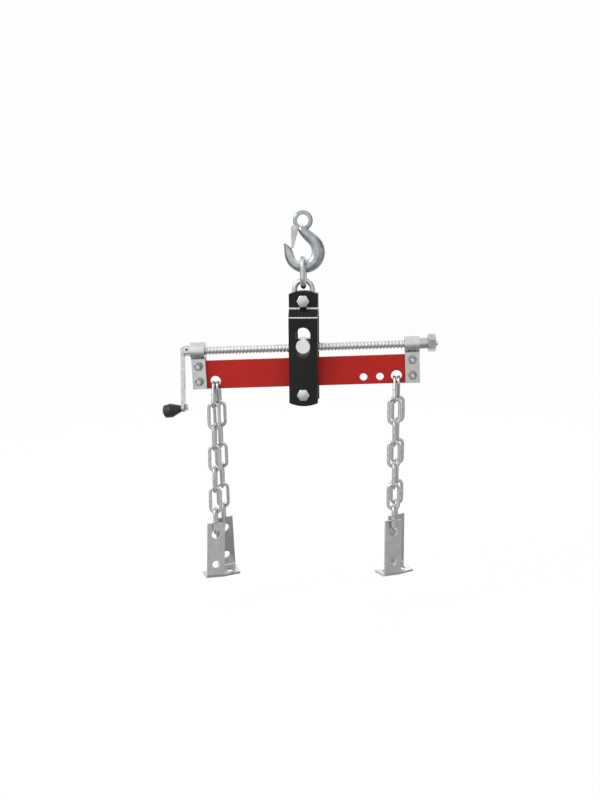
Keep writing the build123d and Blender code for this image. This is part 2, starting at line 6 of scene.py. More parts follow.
import bmesh
import bpy
from mathutils import Matrix, Vector


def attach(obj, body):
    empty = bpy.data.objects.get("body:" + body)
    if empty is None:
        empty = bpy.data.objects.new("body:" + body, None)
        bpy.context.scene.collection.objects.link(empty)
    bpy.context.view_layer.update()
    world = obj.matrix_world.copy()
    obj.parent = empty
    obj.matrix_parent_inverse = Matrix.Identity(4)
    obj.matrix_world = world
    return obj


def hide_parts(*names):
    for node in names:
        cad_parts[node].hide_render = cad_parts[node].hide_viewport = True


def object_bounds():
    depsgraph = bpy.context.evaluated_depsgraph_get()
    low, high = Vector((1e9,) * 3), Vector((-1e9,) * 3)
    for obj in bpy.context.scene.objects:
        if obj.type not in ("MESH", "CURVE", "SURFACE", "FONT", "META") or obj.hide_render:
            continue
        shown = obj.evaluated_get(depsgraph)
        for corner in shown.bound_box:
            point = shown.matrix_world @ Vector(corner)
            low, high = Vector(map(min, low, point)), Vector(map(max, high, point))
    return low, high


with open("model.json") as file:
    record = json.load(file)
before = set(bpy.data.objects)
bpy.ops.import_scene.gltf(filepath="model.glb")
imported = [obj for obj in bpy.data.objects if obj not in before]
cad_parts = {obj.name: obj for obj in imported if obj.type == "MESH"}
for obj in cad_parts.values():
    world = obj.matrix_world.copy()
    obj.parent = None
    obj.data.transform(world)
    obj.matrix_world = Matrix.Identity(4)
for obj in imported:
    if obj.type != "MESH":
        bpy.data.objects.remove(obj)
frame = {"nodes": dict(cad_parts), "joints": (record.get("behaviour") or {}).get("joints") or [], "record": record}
cad_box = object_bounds()

MM = 0.001
ALONG_X = Vector((1, 0, 0))
ALONG_Y = Vector((0, 1, 0))
nodes = frame["nodes"]
joints = {joint["name"]: joint for joint in frame["joints"]}

Bolt = namedtuple("Bolt", "flats radius head pitch")
Noise = namedtuple("Noise", "scale detail stretch", defaults=((1.0, 1.0, 1.0),))
Relief = namedtuple("Relief", "strength distance")
Bend = namedtuple("Bend", "level width half_gap")
Lamp = namedtuple("Lamp", "name place size power")

# Camera, fitted to the photograph
camera_azimuth = radians(4.64)
camera_elevation = radians(11.0)
camera_roll = radians(-0.57)
camera_target = Vector((-8.2, 0.0, -311.4)) * MM
camera_distance = 1505.6 * MM
focal_pixels = 850.0
image_height = 800.0
sensor_height = 36.0

# Sizes repeated from the CAD model
PLATE_BOLT = Bolt(flats=19.0 * MM, radius=6.0 * MM, head=7.5 * MM, pitch=1.75 * MM)
STRAP_BOLT = Bolt(flats=13.0 * MM, radius=4.0 * MM, head=5.3 * MM, pitch=1.25 * MM)
end_nut_flats = 27.0 * MM
screw_radius = 8.0 * MM
screw_crank_radius = 5.0 * MM
screw_end_radius = 6.0 * MM
screw_lead = 6.0 * MM
crank_swing = radians(25.0)
crank_hub_width = 12.0 * MM
latch_sheet = 1.6 * MM
latch_tip_width = 8.0 * MM
latch_tip_depth = 3.0 * MM
chain_links = 7
link_wire_radius = 3.0 * MM
link_inner_width = 12.5 * MM
link_bend_radius = link_inner_width / 2 + link_wire_radius
link_gap = 0.3 * MM

# Hexagons: angle between corners, an end face's radius and a nut's countersink as shares of the flats, slope
# of the cut corners and room in a nut's bore
hex_corner = pi / 3
hex_face_share = 0.475
hex_sink_share = 0.08
hex_cut = radians(30.0)
bore_clearance = 0.05 * MM

# Threads: share of the lead where the root ends and the crest starts and ends, turns past the ends, which are
# cut level, a bolt's depth as a share of its pitch and its plain share, the screw's depth, its cover by the
# straps and its ends' chamfer
root_end, crest_start, crest_end = 0.22, 0.42, 0.78
spare_turns = 2
thread_depth_share = 0.61
bolt_plain_share = 0.72
screw_depth = 1.9 * MM
thread_cover = 6.0 * MM
screw_chamfer = 0.625 * MM

# Weld beads: size, and the profile as shares of the length and of the rise
weld_length = 6.5 * MM
weld_rise = 0.25 * MM
weld_profile = ((-0.5, -0.02), (-0.36, 0.75), (-0.15, 1.0), (0.12, 0.92), (0.36, 0.7), (0.5, -0.02))

# Fineness of the meshes, and the digits to which places along X are sorted
round_steps = 48
round_turns = [2 * pi * step / round_steps for step in range(round_steps)]
thread_steps = 24
ear_steps = 12
latch_rows = 4
smooth_angle = radians(32.0)
merge_distance = 0.0001 * MM
solid_merge_distance = 0.001 * MM
sort_digits = 3


def finish_mesh(name, mesh_data, body, slot, node=None, material=None):
    """Object from a bmesh, smooth between its sharp edges, riding on a body."""
    mesh = bpy.data.meshes.new(name)
    bmesh.ops.remove_doubles(mesh_data, verts=mesh_data.verts, dist=merge_distance)
    bmesh.ops.recalc_face_normals(mesh_data, faces=mesh_data.faces)
    mesh_data.to_mesh(mesh)
    mesh_data.free()
    mesh.shade_smooth()
    mesh.set_sharp_from_angle(angle=smooth_angle)
    piece = bpy.data.objects.new(name, mesh)
    bpy.context.scene.collection.objects.link(piece)
    piece.data.materials.append(MATERIALS[material or slot])
    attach(piece, body)
    if node:
        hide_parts(node)


def add_rings(mesh_data, rings, place):
    """Skin of quads between rings of equal count, closed around."""
    grid = [[mesh_data.verts.new(place @ Vector(point)) for point in ring] for ring in rings]
    for low, high in zip(grid, grid[1:]):
        for step, corner in enumerate(low):
            after = (step + 1) % len(low)
            mesh_data.faces.new((corner, low[after], high[after], high[step]))
    return grid


def close_ends(mesh_data, grid):
    """Faces over the first and the last ring."""
    mesh_data.faces.new(grid[0])
    mesh_data.faces.new(grid[-1])


def add_lathe(mesh_data, profile, place):
    """Turned form around Z from pairs of height and radius."""
    rings = [[(radius * cos(turn), radius * sin(turn), height) for turn in round_turns]
             for height, radius in profile]
    close_ends(mesh_data, add_rings(mesh_data, rings, place))


def add_hexagon(mesh_data, flats, height, place, bore=None):
    """Bolt head along Z with its outer corners cut by a cone, or a nut, cut at both ends and countersunk."""
    outer = [flats / 2 / cos(turn % hex_corner - hex_corner / 2) for turn in round_turns]
    face = hex_face_share * flats
    sink = hex_sink_share * flats

    def ring(radii, levels):
        return [(radius * cos(turn), radius * sin(turn), level)
                for turn, radius, level in zip(round_turns, radii, levels)]

    def flat_ring(radius, level):
        return ring([radius] * round_steps, [level] * round_steps)

    cuts = [(radius - face) * tan(hex_cut) for radius in outer]
    far_cuts = [height - cut for cut in cuts] if bore else [height] * round_steps
    rings = [flat_ring(face, 0), ring(outer, cuts), ring(outer, far_cuts), flat_ring(face, height)]
    if bore:
        rings = [flat_ring(bore + sink, 0)] + rings + [flat_ring(bore + sink, height)]
        rings += [flat_ring(bore, height - sink / 2), flat_ring(bore, sink / 2), flat_ring(bore + sink, 0)]
    grid = add_rings(mesh_data, rings, place)
    if not bore:
        close_ends(mesh_data, grid)


def add_thread(mesh_data, crest, depth, lead, start, end, place):
    """Single-start thread along Z: a helical band of root, flank, crest and flank."""
    root = crest - depth
    profile = [(0.0, root), (root_end, root), (crest_start, crest), (crest_end, crest)]
    count = (int((end - start) / lead) + spare_turns) * thread_steps
    grid = []
    for step in range(count + thread_steps + 1):
        turn = 2 * pi * step / thread_steps
        row = []
        for share, radius in profile:
            height = start + lead * (step / thread_steps + share - 1)
            level = min(max(height, start), end)
            row.append(mesh_data.verts.new(place @ Vector((radius * cos(turn), radius * sin(turn), level))))
        grid.append(row)
    for step in range(count):
        here = grid[step] + [grid[step + thread_steps][0]]
        there = grid[step + 1] + [grid[step + 1 + thread_steps][0]]
        for low, high, low_next, high_next in zip(here, here[1:], there, there[1:]):
            mesh_data.faces.new((low, low_next, high_next, high))


def islands(node):
    """Boxes of a node's separate solids, sorted along X and then Z."""
    loose = bmesh.new()
    loose.from_mesh(nodes[node].data)
    bmesh.ops.remove_doubles(loose, verts=loose.verts, dist=solid_merge_distance)
    waiting = set(loose.verts)
    boxes = []
    while waiting:
        stack = [waiting.pop()]
        points = []
        while stack:
            vert = stack.pop()
            points.append(vert.co.copy())
            for edge in vert.link_edges:
                other = edge.other_vert(vert)
                if other in waiting:
                    waiting.remove(other)
                    stack.append(other)
        low = Vector([min(point[axis] for point in points) for axis in range(3)])
        high = Vector([max(point[axis] for point in points) for axis in range(3)])
        boxes.append((low, high))
    loose.free()
    return sorted(boxes, key=lambda box: (round(box[0].x, sort_digits), box[0].z))


def axes(origin, along, across):
    """Matrix whose Z runs along one direction and whose X lies near another."""
    z_axis = Vector(along).normalized()
    y_axis = z_axis.cross(Vector(across)).normalized()
    x_axis = y_axis.cross(z_axis)
    turn = Matrix((x_axis, y_axis, z_axis)).transposed().to_4x4()
    return Matrix.Translation(Vector(origin)) @ turn


def reach(node, origin, along):
    """Nearest and furthest place of a node along a direction."""
    places = [(vert.co - Vector(origin)).dot(along) for vert in nodes[node].data.vertices]
    return min(places), max(places)


# Shader nodes

# Spans of a noise, of an edge's turn away from its face and of a hollow's openness that are put to use, and
# the samples taken for the last two
noise_span = (0.3, 0.7)
edge_samples = 6
edge_span = (0.99, 0.80)
hollow_samples = 8
hollow_span = (0.35, 0.95)


def new_material(name):
    """Material with its node tree and shader."""
    material = bpy.data.materials.new(name)
    material.use_nodes = True
    tree = material.node_tree
    return material, tree, tree.nodes["Principled BSDF"]


def own_place(tree):
    """Position in the object's own space, which is the CAD frame."""
    return tree.nodes.new("ShaderNodeTexCoord").outputs["Object"]


def pattern(tree, noise, kind="ShaderNodeTexNoise", shift=(0, 0, 0)):
    """Noise, cells or waves in the object's own space."""
    mapping = tree.nodes.new("ShaderNodeMapping")
    mapping.inputs["Scale"].default_value = noise.stretch
    mapping.inputs["Location"].default_value = shift
    texture = tree.nodes.new(kind)
    texture.inputs["Scale"].default_value = noise.scale
    texture.inputs["Detail"].default_value = noise.detail
    tree.links.new(own_place(tree), mapping.inputs["Vector"])
    tree.links.new(mapping.outputs["Vector"], texture.inputs["Vector"])
    return texture.outputs[0]


def remap(tree, source, span, low=0.0, high=1.0):
    """Number that goes from low to high while a source goes through a span, and no further."""
    node = tree.nodes.new("ShaderNodeMapRange")
    node.inputs["From Min"].default_value = span[0]
    node.inputs["From Max"].default_value = span[1]
    node.inputs["To Min"].default_value = low
    node.inputs["To Max"].default_value = high
    tree.links.new(source, node.inputs["Value"])
    return node.outputs["Result"]


def spread(tree, source, low=0.0, high=1.0):
    """Number between two ends, following a pattern."""
    return remap(tree, source, noise_span, low, high)


def calculate(tree, operation, *values):
    """Number worked out from numbers or other nodes' outputs."""
    node = tree.nodes.new("ShaderNodeMath")
    node.operation = operation
    for socket, value in zip(node.inputs, values):
        if isinstance(value, (int, float)):
            socket.default_value = value
        else:
            tree.links.new(value, socket)
    return node.outputs[0]


def product(tree, first, *others):
    """Product of several numbers."""
    for other in others:
        first = calculate(tree, "MULTIPLY", first, other)
    return first


def measure(tree, operation, first, second):
    """Number worked out from another node's vector and a second one, fixed or a node's."""
    node = tree.nodes.new("ShaderNodeVectorMath")
    node.operation = operation
    tree.links.new(first, node.inputs[0])
    if isinstance(second, Vector):
        node.inputs[1].default_value = second
    else:
        tree.links.new(second, node.inputs[1])
    return node.outputs["Value"]


def split(tree, vector):
    """X, Y and Z of a vector."""
    node = tree.nodes.new("ShaderNodeSeparateXYZ")
    tree.links.new(vector, node.inputs["Vector"])
    return node.outputs


def blend_colours(tree, share, first, second):
    """Colour between two colours, each a triple or another node's output."""
    node = tree.nodes.new("ShaderNodeMix")
    node.data_type = "RGBA"
    colour_inputs = [socket for socket in node.inputs if socket.type == "RGBA"]
    tree.links.new(share, node.inputs["Factor"])
    for socket, colour in zip(colour_inputs, (first, second)):
        if isinstance(colour, tuple):
            socket.default_value = (*colour, 1.0)
        else:
            tree.links.new(colour, socket)
    return next(socket for socket in node.outputs if socket.type == "RGBA")


def edge_mask(tree, radius):
    """One along sharp edges and nought on flat faces."""
    bevel = tree.nodes.new("ShaderNodeBevel")
    bevel.samples = edge_samples
    bevel.inputs["Radius"].default_value = radius
    geometry = tree.nodes.new("ShaderNodeNewGeometry")
    facing = measure(tree, "DOT_PRODUCT", bevel.outputs["Normal"], geometry.outputs["Normal"])
    return remap(tree, facing, edge_span)


def painted_hollow_shade(tree, colour, reach_in, darkest):
    """Colour darkened in corners and along seams: painted shade."""
    hollow = tree.nodes.new("ShaderNodeAmbientOcclusion")
    hollow.samples = hollow_samples
    hollow.inputs["Distance"].default_value = reach_in
    shade = tree.nodes.new("ShaderNodeVectorMath")
    shade.operation = "SCALE"
    tree.links.new(colour, shade.inputs[0])
    tree.links.new(remap(tree, hollow.outputs["AO"], hollow_span, low=darkest), shade.inputs["Scale"])
    return shade.outputs["Vector"]


def add_relief(tree, shader, source, depth):
    """Fine bumps in the surface."""
    bump = tree.nodes.new("ShaderNodeBump")
    bump.inputs["Strength"].default_value = depth.strength
    bump.inputs["Distance"].default_value = depth.distance
    tree.links.new(source, bump.inputs["Height"])
    tree.links.new(bump.outputs["Normal"], shader.inputs["Normal"])


# Metal: patterns per metre, rubbed edges, painted shade in corners, relief and the rings left by a lathe
cloud_detail = 5.0
usual_cloud_scale = 120.0
plating_grain = Noise(scale=700.0, detail=2.0)
plating_streaks = Noise(scale=240.0, detail=3.0, stretch=(1.0, 1.0, 0.12))
plating_relief = Relief(strength=0.03, distance=0.03 * MM)
plating_edge = 0.5 * MM
rubbed_gain = 1.12
# Painted shade in corners and seams: how far it reaches and how dark it gets at most
usual_shade_reach = 2.0 * MM
usual_darkest_shade = 0.6
lathe_clouds = Noise(scale=160.0, detail=4.0)
lathe_rings = Noise(scale=390.0, detail=0.0)
lathe_distortion = 0.4
lathe_relief = Relief(strength=0.05, distance=0.03 * MM)

# Hook: stains, and the saddle that the link rubs bright, which also carries a painted highlight, with the bowl's
# centre and the radii where the shine ends and is full
stain_blotches = Noise(scale=45.0, detail=6.0)
stain_shares = (-0.5, 0.7)
saddle_centre = Vector((-1.0, 0.0, -53.6)) * MM
saddle_radii = (21.5 * MM, 17.0 * MM)
saddle_wear_and_highlight_colour = (0.80, 0.83, 0.85)
saddle_plane = (1.0, 0.0, 1.0)


def saddle_wear_and_highlight(tree):
    """One in the hook's bowl, fading out over its sides: wear and a painted highlight."""
    flat = tree.nodes.new("ShaderNodeMapping")
    flat.inputs["Scale"].default_value = saddle_plane
    tree.links.new(own_place(tree), flat.inputs["Vector"])
    return remap(tree, measure(tree, "DISTANCE", flat.outputs["Vector"], saddle_centre), saddle_radii)


def plated(name, dull, bright, rough, cloud_scale=usual_cloud_scale,
           shade_reach=usual_shade_reach, darkest_shade=usual_darkest_shade, stain=None):
    """Plated steel: clouds, grain, rubbed edges, drawn streaks, painted shade in corners and, on the hook, stains
    and a saddle rubbed bright under a painted highlight.
    """
    material, tree, shader = new_material(name)
    clouds = pattern(tree, Noise(scale=cloud_scale, detail=cloud_detail))
    grain = pattern(tree, plating_grain)
    streaks = pattern(tree, plating_streaks)
    tone = blend_colours(tree, spread(tree, clouds), dull, bright)
    rubbed = tuple(min(1.0, rubbed_gain * part) for part in bright)
    worn = blend_colours(tree, edge_mask(tree, plating_edge), tone, rubbed)
    if stain:
        blotches = pattern(tree, stain_blotches)
        worn = blend_colours(tree, spread(tree, blotches, *stain_shares), worn, stain)
        # The saddle: rubbed bright by the link, and a painted highlight
        worn = blend_colours(tree, saddle_wear_and_highlight(tree), worn, saddle_wear_and_highlight_colour)
    # Painted shade: the colour is darkened in corners and along seams
    tree.links.new(painted_hollow_shade(tree, worn, shade_reach, darkest_shade), shader.inputs["Base Color"])
    shader.inputs["Metallic"].default_value = 1.0
    tree.links.new(spread(tree, streaks, *rough), shader.inputs["Roughness"])
    add_relief(tree, shader, grain, plating_relief)
    return material


def turned(name, dull, bright, rough, centre):
    """Steel faced on a lathe: fine rings round a level axis along Y, a clouded tone and painted shade in corners.
    """
    material, tree, shader = new_material(name)
    clouds = pattern(tree, lathe_clouds)
    rings = pattern(tree, lathe_rings, "ShaderNodeTexWave", shift=-centre)
    wave = rings.node
    wave.wave_type = "RINGS"
    wave.rings_direction = "Y"
    wave.inputs["Distortion"].default_value = lathe_distortion
    tone = blend_colours(tree, spread(tree, clouds), dull, bright)
    # Painted shade: the colour is darkened in corners and along seams
    tree.links.new(painted_hollow_shade(tree, tone, usual_shade_reach, usual_darkest_shade), shader.inputs["Base Color"])
    shader.inputs["Metallic"].default_value = 1.0
    tree.links.new(spread(tree, rings, *rough), shader.inputs["Roughness"])
    add_relief(tree, shader, rings, lathe_relief)
    return material


# Paint: patterns per metre, relief, gloss, and the edges' width with the share of it that turns to the edge
# colour, chipped paint on the black and painted shade on the red
paint_drift = Noise(scale=14.0, detail=4.0)
paint_peel = Noise(scale=420.0, detail=2.0)
paint_smears = Noise(scale=60.0, detail=5.0, stretch=(1.0, 1.0, 0.3))
paint_breakup = Noise(scale=300.0, detail=6.0)
paint_relief = Relief(strength=0.08, distance=0.05 * MM)
paint_specular = 0.15
paint_edge = 0.6 * MM
edge_breakup_shares = (0.0, 0.6)

# Plates: painted highlights along both bends, the upper one broken below the bolt head by a painted shadow, and
# walls at the lower end of the slots where the paint is rubbed through and painted light falls
plate_bends = (Bend(level=-148.4 * MM, width=2.9 * MM, half_gap=6.0 * MM),
               Bend(level=-163.6 * MM, width=2.1 * MM, half_gap=0.0))
bend_highlight_colour = (0.80, 0.75, 0.71)
bend_breakup_shares = (0.45, 1.0)
slot_half_width = 13.0 * MM
slot_bottom, slot_top = -233.0 * MM, -215.0 * MM
slot_wall_facing = 0.5
slot_wear_and_light_colour = (0.45, 0.45, 0.44)
slot_breakup_shares = (0.6, 1.0)


def bend_highlights(tree, breakup):
    """Painted highlights: broken thin pale lines along the bends, the upper one with a gap of painted shadow below
    the bolt head.
    """
    place = split(tree, own_place(tree))
    across = calculate(tree, "ABSOLUTE", place["X"])
    lines = []
    for bend in plate_bends:
        line = calculate(tree, "COMPARE", place["Z"], bend.level, bend.width / 2)
        lines.append(product(tree, line, calculate(tree, "GREATER_THAN", across, bend.half_gap)))
    return product(tree, calculate(tree, "MAXIMUM", *lines), spread(tree, breakup, *bend_breakup_shares))


def worn_and_lit_slot(tree, breakup):
    """Pale patch on the walls at the lower end of a slot along Y: paint rubbed through by the pin, and painted
    light falling on them from above.
    """
    place = split(tree, own_place(tree))
    normal = split(tree, tree.nodes.new("ShaderNodeNewGeometry").outputs["Normal"])
    inside = calculate(tree, "LESS_THAN", calculate(tree, "ABSOLUTE", place["X"]), slot_half_width)
    above = calculate(tree, "GREATER_THAN", place["Z"], slot_bottom)
    below = calculate(tree, "LESS_THAN", place["Z"], slot_top)
    wall = calculate(tree, "LESS_THAN", calculate(tree, "ABSOLUTE", normal["Y"]), slot_wall_facing)
    return product(tree, inside, above, below, wall, spread(tree, breakup, *slot_breakup_shares))


def painted(name, colour, shade, edge_tone, rough, plate=False):
    """Sprayed paint: orange peel, drifting tone, edges that turn in patches to a second colour, chipped on the
    black and painted shade on the red, and, on the plates, painted highlights along the bends and slot walls
    rubbed through and lit by painted light.
    """
    material, tree, shader = new_material(name)
    drift = pattern(tree, paint_drift)
    peel = pattern(tree, paint_peel)
    smears = pattern(tree, paint_smears)
    breakup = pattern(tree, paint_breakup)
    tone = blend_colours(tree, spread(tree, drift), shade, colour)
    # Edges turn in patches to the edge colour: chipped paint on the black, painted shade on the red
    edge_marks = product(tree, edge_mask(tree, paint_edge), spread(tree, breakup, *edge_breakup_shares))
    worn = blend_colours(tree, edge_marks, tone, edge_tone)
    if plate:
        # Painted highlights along the bends, with a painted shadow below the bolt head
        worn = blend_colours(tree, bend_highlights(tree, breakup), worn, bend_highlight_colour)
        # The slot walls: paint rubbed through, and painted light
        worn = blend_colours(tree, worn_and_lit_slot(tree, breakup), worn, slot_wear_and_light_colour)
    tree.links.new(worn, shader.inputs["Base Color"])
    tree.links.new(spread(tree, smears, *rough), shader.inputs["Roughness"])
    shader.inputs["Specular IOR Level"].default_value = paint_specular
    add_relief(tree, shader, peel, paint_relief)
    return material


# Plastic: patterns per metre, relief and gloss
plastic_clouds = Noise(scale=90.0, detail=4.0)
plastic_grain = Noise(scale=1900.0, detail=0.0)
plastic_relief = Relief(strength=0.2, distance=0.05 * MM)
plastic_specular = 0.4


def moulded(name, colour, shade, rough):
    """Hard plastic with a fine moulded grain and hand-worn gloss."""
    material, tree, shader = new_material(name)
    clouds = pattern(tree, plastic_clouds)
    grain = pattern(tree, plastic_grain, "ShaderNodeTexVoronoi")
    tone = blend_colours(tree, spread(tree, clouds), shade, colour)
    tree.links.new(tone, shader.inputs["Base Color"])
    tree.links.new(spread(tree, clouds, *rough), shader.inputs["Roughness"])
    shader.inputs["Specular IOR Level"].default_value = plastic_specular
    add_relief(tree, shader, grain, plastic_relief)
    return material


trunnion_centre = Vector(joints["beam_tip"]["pos_m"])
MATERIALS = {
    "hook_steel": plated(
        "hook_steel", dull=(0.27, 0.31, 0.33), bright=(0.48, 0.52, 0.54), rough=(0.10, 0.20),
        cloud_scale=70.0, stain=(0.30, 0.25, 0.20)),
    "zinc": plated(
        "zinc", dull=(0.54, 0.56, 0.55), bright=(0.64, 0.66, 0.64), rough=(0.24, 0.34),
        cloud_scale=90.0, shade_reach=2.5 * MM, darkest_shade=0.55),
    "steel": plated(
        "steel", dull=(0.42, 0.44, 0.45), bright=(0.54, 0.56, 0.56), rough=(0.22, 0.30)),
    # Painted light: a brighter copy of the steel for the lead screw, making up for the shade between its threads
    "lit_screw_steel": plated(
        "lit_screw_steel", dull=(0.66, 0.68, 0.68), bright=(0.78, 0.80, 0.80), rough=(0.22, 0.30)),
    # Painted shade: the screw nut, seen through the plates' slots, is darkened as if in their shadow, with shade
    # reaching far into its hollows
    "nut_shadow_steel": plated(
        "nut_shadow_steel", dull=(0.20, 0.21, 0.21), bright=(0.32, 0.33, 0.33), rough=(0.25, 0.35),
        shade_reach=8.0 * MM, darkest_shade=0.3),
    # Painted shade: a darker copy of the zinc for the nuts, standing in for the shade on their faces
    "nut_face_shade_zinc": plated(
        "nut_face_shade_zinc", dull=(0.28, 0.29, 0.30), bright=(0.40, 0.41, 0.42), rough=(0.22, 0.32)),
    # Painted shade: the crank pin is near black, standing in for the shade in the hub's pin hole
    "pin_hole_shade_steel": plated(
        "pin_hole_shade_steel", dull=(0.03, 0.03, 0.035), bright=(0.06, 0.06, 0.065), rough=(0.30, 0.40)),
    "turned_ends": turned(
        "turned_ends", dull=(0.74, 0.75, 0.74), bright=(0.84, 0.85, 0.84), rough=(0.22, 0.32),
        centre=trunnion_centre),
    "black_paint": painted(
        "black_paint", colour=(0.012, 0.014, 0.014), shade=(0.008, 0.009, 0.009),
        edge_tone=(0.06, 0.06, 0.06), rough=(0.24, 0.36), plate=True),
    # Painted shade: the dark edge colour darkens the red's edges in patches
    "red_paint": painted(
        "red_paint", colour=(0.39, 0.015, 0.009), shade=(0.34, 0.010, 0.008),
        edge_tone=(0.16, 0.006, 0.006), rough=(0.34, 0.46)),
    "black_plastic": moulded(
        "black_plastic", colour=(0.018, 0.024, 0.030), shade=(0.010, 0.013, 0.016), rough=(0.34, 0.52)),
}

# Nodes that don't look like the rest of their slot; the screw nut and the crank pin are darkened as painted shade
OWN_LOOKS = {"trunnion_pins": "turned_ends", "screw_nut": "nut_shadow_steel", "crank_pin": "pin_hole_shade_steel"}
for subpart in frame["record"]["subparts"]:
    for material_slot in nodes[subpart["node"]].material_slots:
        material_slot.material = MATERIALS[OWN_LOOKS.get(subpart["node"], subpart["material_slot"])]

# Fasteners


def add_bolt(mesh_data, bolt, length, place):
    """Hexagon bolt along Z from its head's outer face, threaded over its far part."""
    depth = thread_depth_share * bolt.pitch
    core = bolt.radius - depth
    plain = bolt_plain_share * length
    chamfer = bolt.pitch / 2
    add_hexagon(mesh_data, bolt.flats, bolt.head, place)
    add_lathe(mesh_data, [(bolt.head, bolt.radius), (plain, bolt.radius)], place)
    add_thread(mesh_data, bolt.radius, depth, bolt.pitch, plain, length - chamfer, place)
    add_lathe(mesh_data, [(plain, core), (length - chamfer, core), (length, core - chamfer)], place)


def make_bolts(node, body, bolt, heading, across):
    """All bolts of a node, with their heads on one side."""
    mesh_data = bmesh.new()
    for low, high in islands(node):
        start = (low + high) / 2
        start.y = low.y if heading > 0 else high.y
        add_bolt(mesh_data, bolt, high.y - low.y, axes(start, heading * ALONG_Y, across))
    finish_mesh(f"{node}_detail", mesh_data, body, "zinc", node)


def make_nuts(node, body, bolt, across):
    """All nuts of a node, chamfered on both faces."""
    mesh_data = bmesh.new()
    for low, high in islands(node):
        start = (low + high) / 2
        start.y = low.y
        place = axes(start, ALONG_Y, across)
        add_hexagon(mesh_data, bolt.flats, high.y - low.y, place, bolt.radius + bore_clearance)
    # The nuts take the darker copy of the zinc: painted shade
    finish_mesh(f"{node}_detail", mesh_data, body, "zinc", node, "nut_face_shade_zinc")


screw_origin = Vector(joints["crank_turn"]["pos_m"])
screw_axis = Vector(joints["crank_turn"]["axis"]).normalized()
crank_across = Matrix.Rotation(-crank_swing, 3, "X") @ ALONG_Y
screw_place = axes(screw_origin, screw_axis, crank_across)

make_bolts("plate_bolts", "plates", PLATE_BOLT, heading=1, across=ALONG_X)
make_nuts("plate_nuts", "plates", PLATE_BOLT, across=ALONG_X)
make_bolts("strap_bolts", "beam", STRAP_BOLT, heading=-1, across=screw_axis)
make_nuts("strap_nuts", "beam", STRAP_BOLT, across=screw_axis)

# Lead screw and its end nut


def make_lead_screw():
    """Threaded rod between the straps, plain in its bushes, stepped at both ends."""
    left, right = reach("lead_screw", screw_origin, screw_axis)
    shoulder = left + crank_hub_width
    nut_face = reach("end_nut", screw_origin, screw_axis)[0]
    thread_start = reach("left_strap", screw_origin, screw_axis)[1] - thread_cover
    thread_end = reach("right_strap", screw_origin, screw_axis)[0] + thread_cover
    core = screw_radius - screw_depth
    crank_end = [(left, screw_crank_radius - screw_chamfer), (left + screw_chamfer, screw_crank_radius),
                 (shoulder, screw_crank_radius), (shoulder, screw_radius)]
    middle = [(thread_start, screw_radius), (thread_start, core), (thread_end, core),
              (thread_end, screw_radius)]
    nut_end = [(nut_face, screw_radius), (nut_face, screw_end_radius),
               (right - screw_chamfer, screw_end_radius), (right, screw_end_radius - screw_chamfer)]
    mesh_data = bmesh.new()
    add_lathe(mesh_data, crank_end + middle + nut_end, screw_place)
    add_thread(mesh_data, screw_radius, screw_depth, screw_lead, thread_start, thread_end, screw_place)
    # The screw takes the brighter copy of the steel: painted light
    finish_mesh("lead_screw_detail", mesh_data, "screw", "steel", "lead_screw", "lit_screw_steel")


def make_end_nut():
    """Large nut on the screw's reduced end."""
    near, far = reach("end_nut", screw_origin, screw_axis)
    mesh_data = bmesh.new()
    place = screw_place @ Matrix.Translation((0, 0, near))
    add_hexagon(mesh_data, end_nut_flats, far - near, place, screw_end_radius + bore_clearance)
    finish_mesh("end_nut_detail", mesh_data, "screw", "steel", "end_nut")


make_lead_screw()
make_end_nut()

# Latch


def make_latch():
    """Strap folded over the hook's lug: two ears on the pin and walls that run out towards the tip."""
    pivot = Vector(joints["latch_swing"]["pos_m"])
    points = [vert.co - pivot for vert in nodes["latch"].data.vertices]
    ear = max(point.z for point in points)
    tip = min(point.z for point in points)
    half_width = max(point.y for point in points)
    web = -ear + latch_sheet
    rows = []
    for row in range(latch_rows + 1):
        share = row / latch_rows
        half = half_width + share * (latch_tip_width / 2 - half_width)
        edge = ear + share * (latch_tip_depth - 2 * ear)
        level = share * tip
        rows.append([(-ear, -half, level), (edge, -half, level), (edge, latch_sheet - half, level),
                     (web, latch_sheet - half, level), (web, half - latch_sheet, level),
                     (edge, half - latch_sheet, level), (edge, half, level), (-ear, half, level)])
    mesh_data = bmesh.new()
    close_ends(mesh_data, add_rings(mesh_data, rows, Matrix.Translation(pivot)))
    for side in (-1, 1):
        faces = []
        for depth in (half_width, half_width - latch_sheet):
            arc = [(ear * cos(pi * step / ear_steps), side * depth, ear * sin(pi * step / ear_steps))
                   for step in range(ear_steps + 1)]
            faces.append([mesh_data.verts.new(pivot + Vector(point)) for point in arc])
        outer, inner = faces
        mesh_data.faces.new(outer)
        mesh_data.faces.new(inner)
        for step in range(-1, ear_steps):
            mesh_data.faces.new((outer[step], outer[step + 1], inner[step + 1], inner[step]))
    finish_mesh("latch_detail", mesh_data, "latch", "zinc", "latch")


make_latch()

# Weld beads on the chain links


def make_weld(link, centre, along, across):
    """Bead around the middle of one side of a link."""
    middle = centre + across.normalized() * link_bend_radius
    profile = [(share * weld_length, link_wire_radius + rise * weld_rise) for share, rise in weld_profile]
    mesh_data = bmesh.new()
    add_lathe(mesh_data, profile, axes(middle, along, across))
    finish_mesh(f"{link}_weld", mesh_data, link, "zinc")


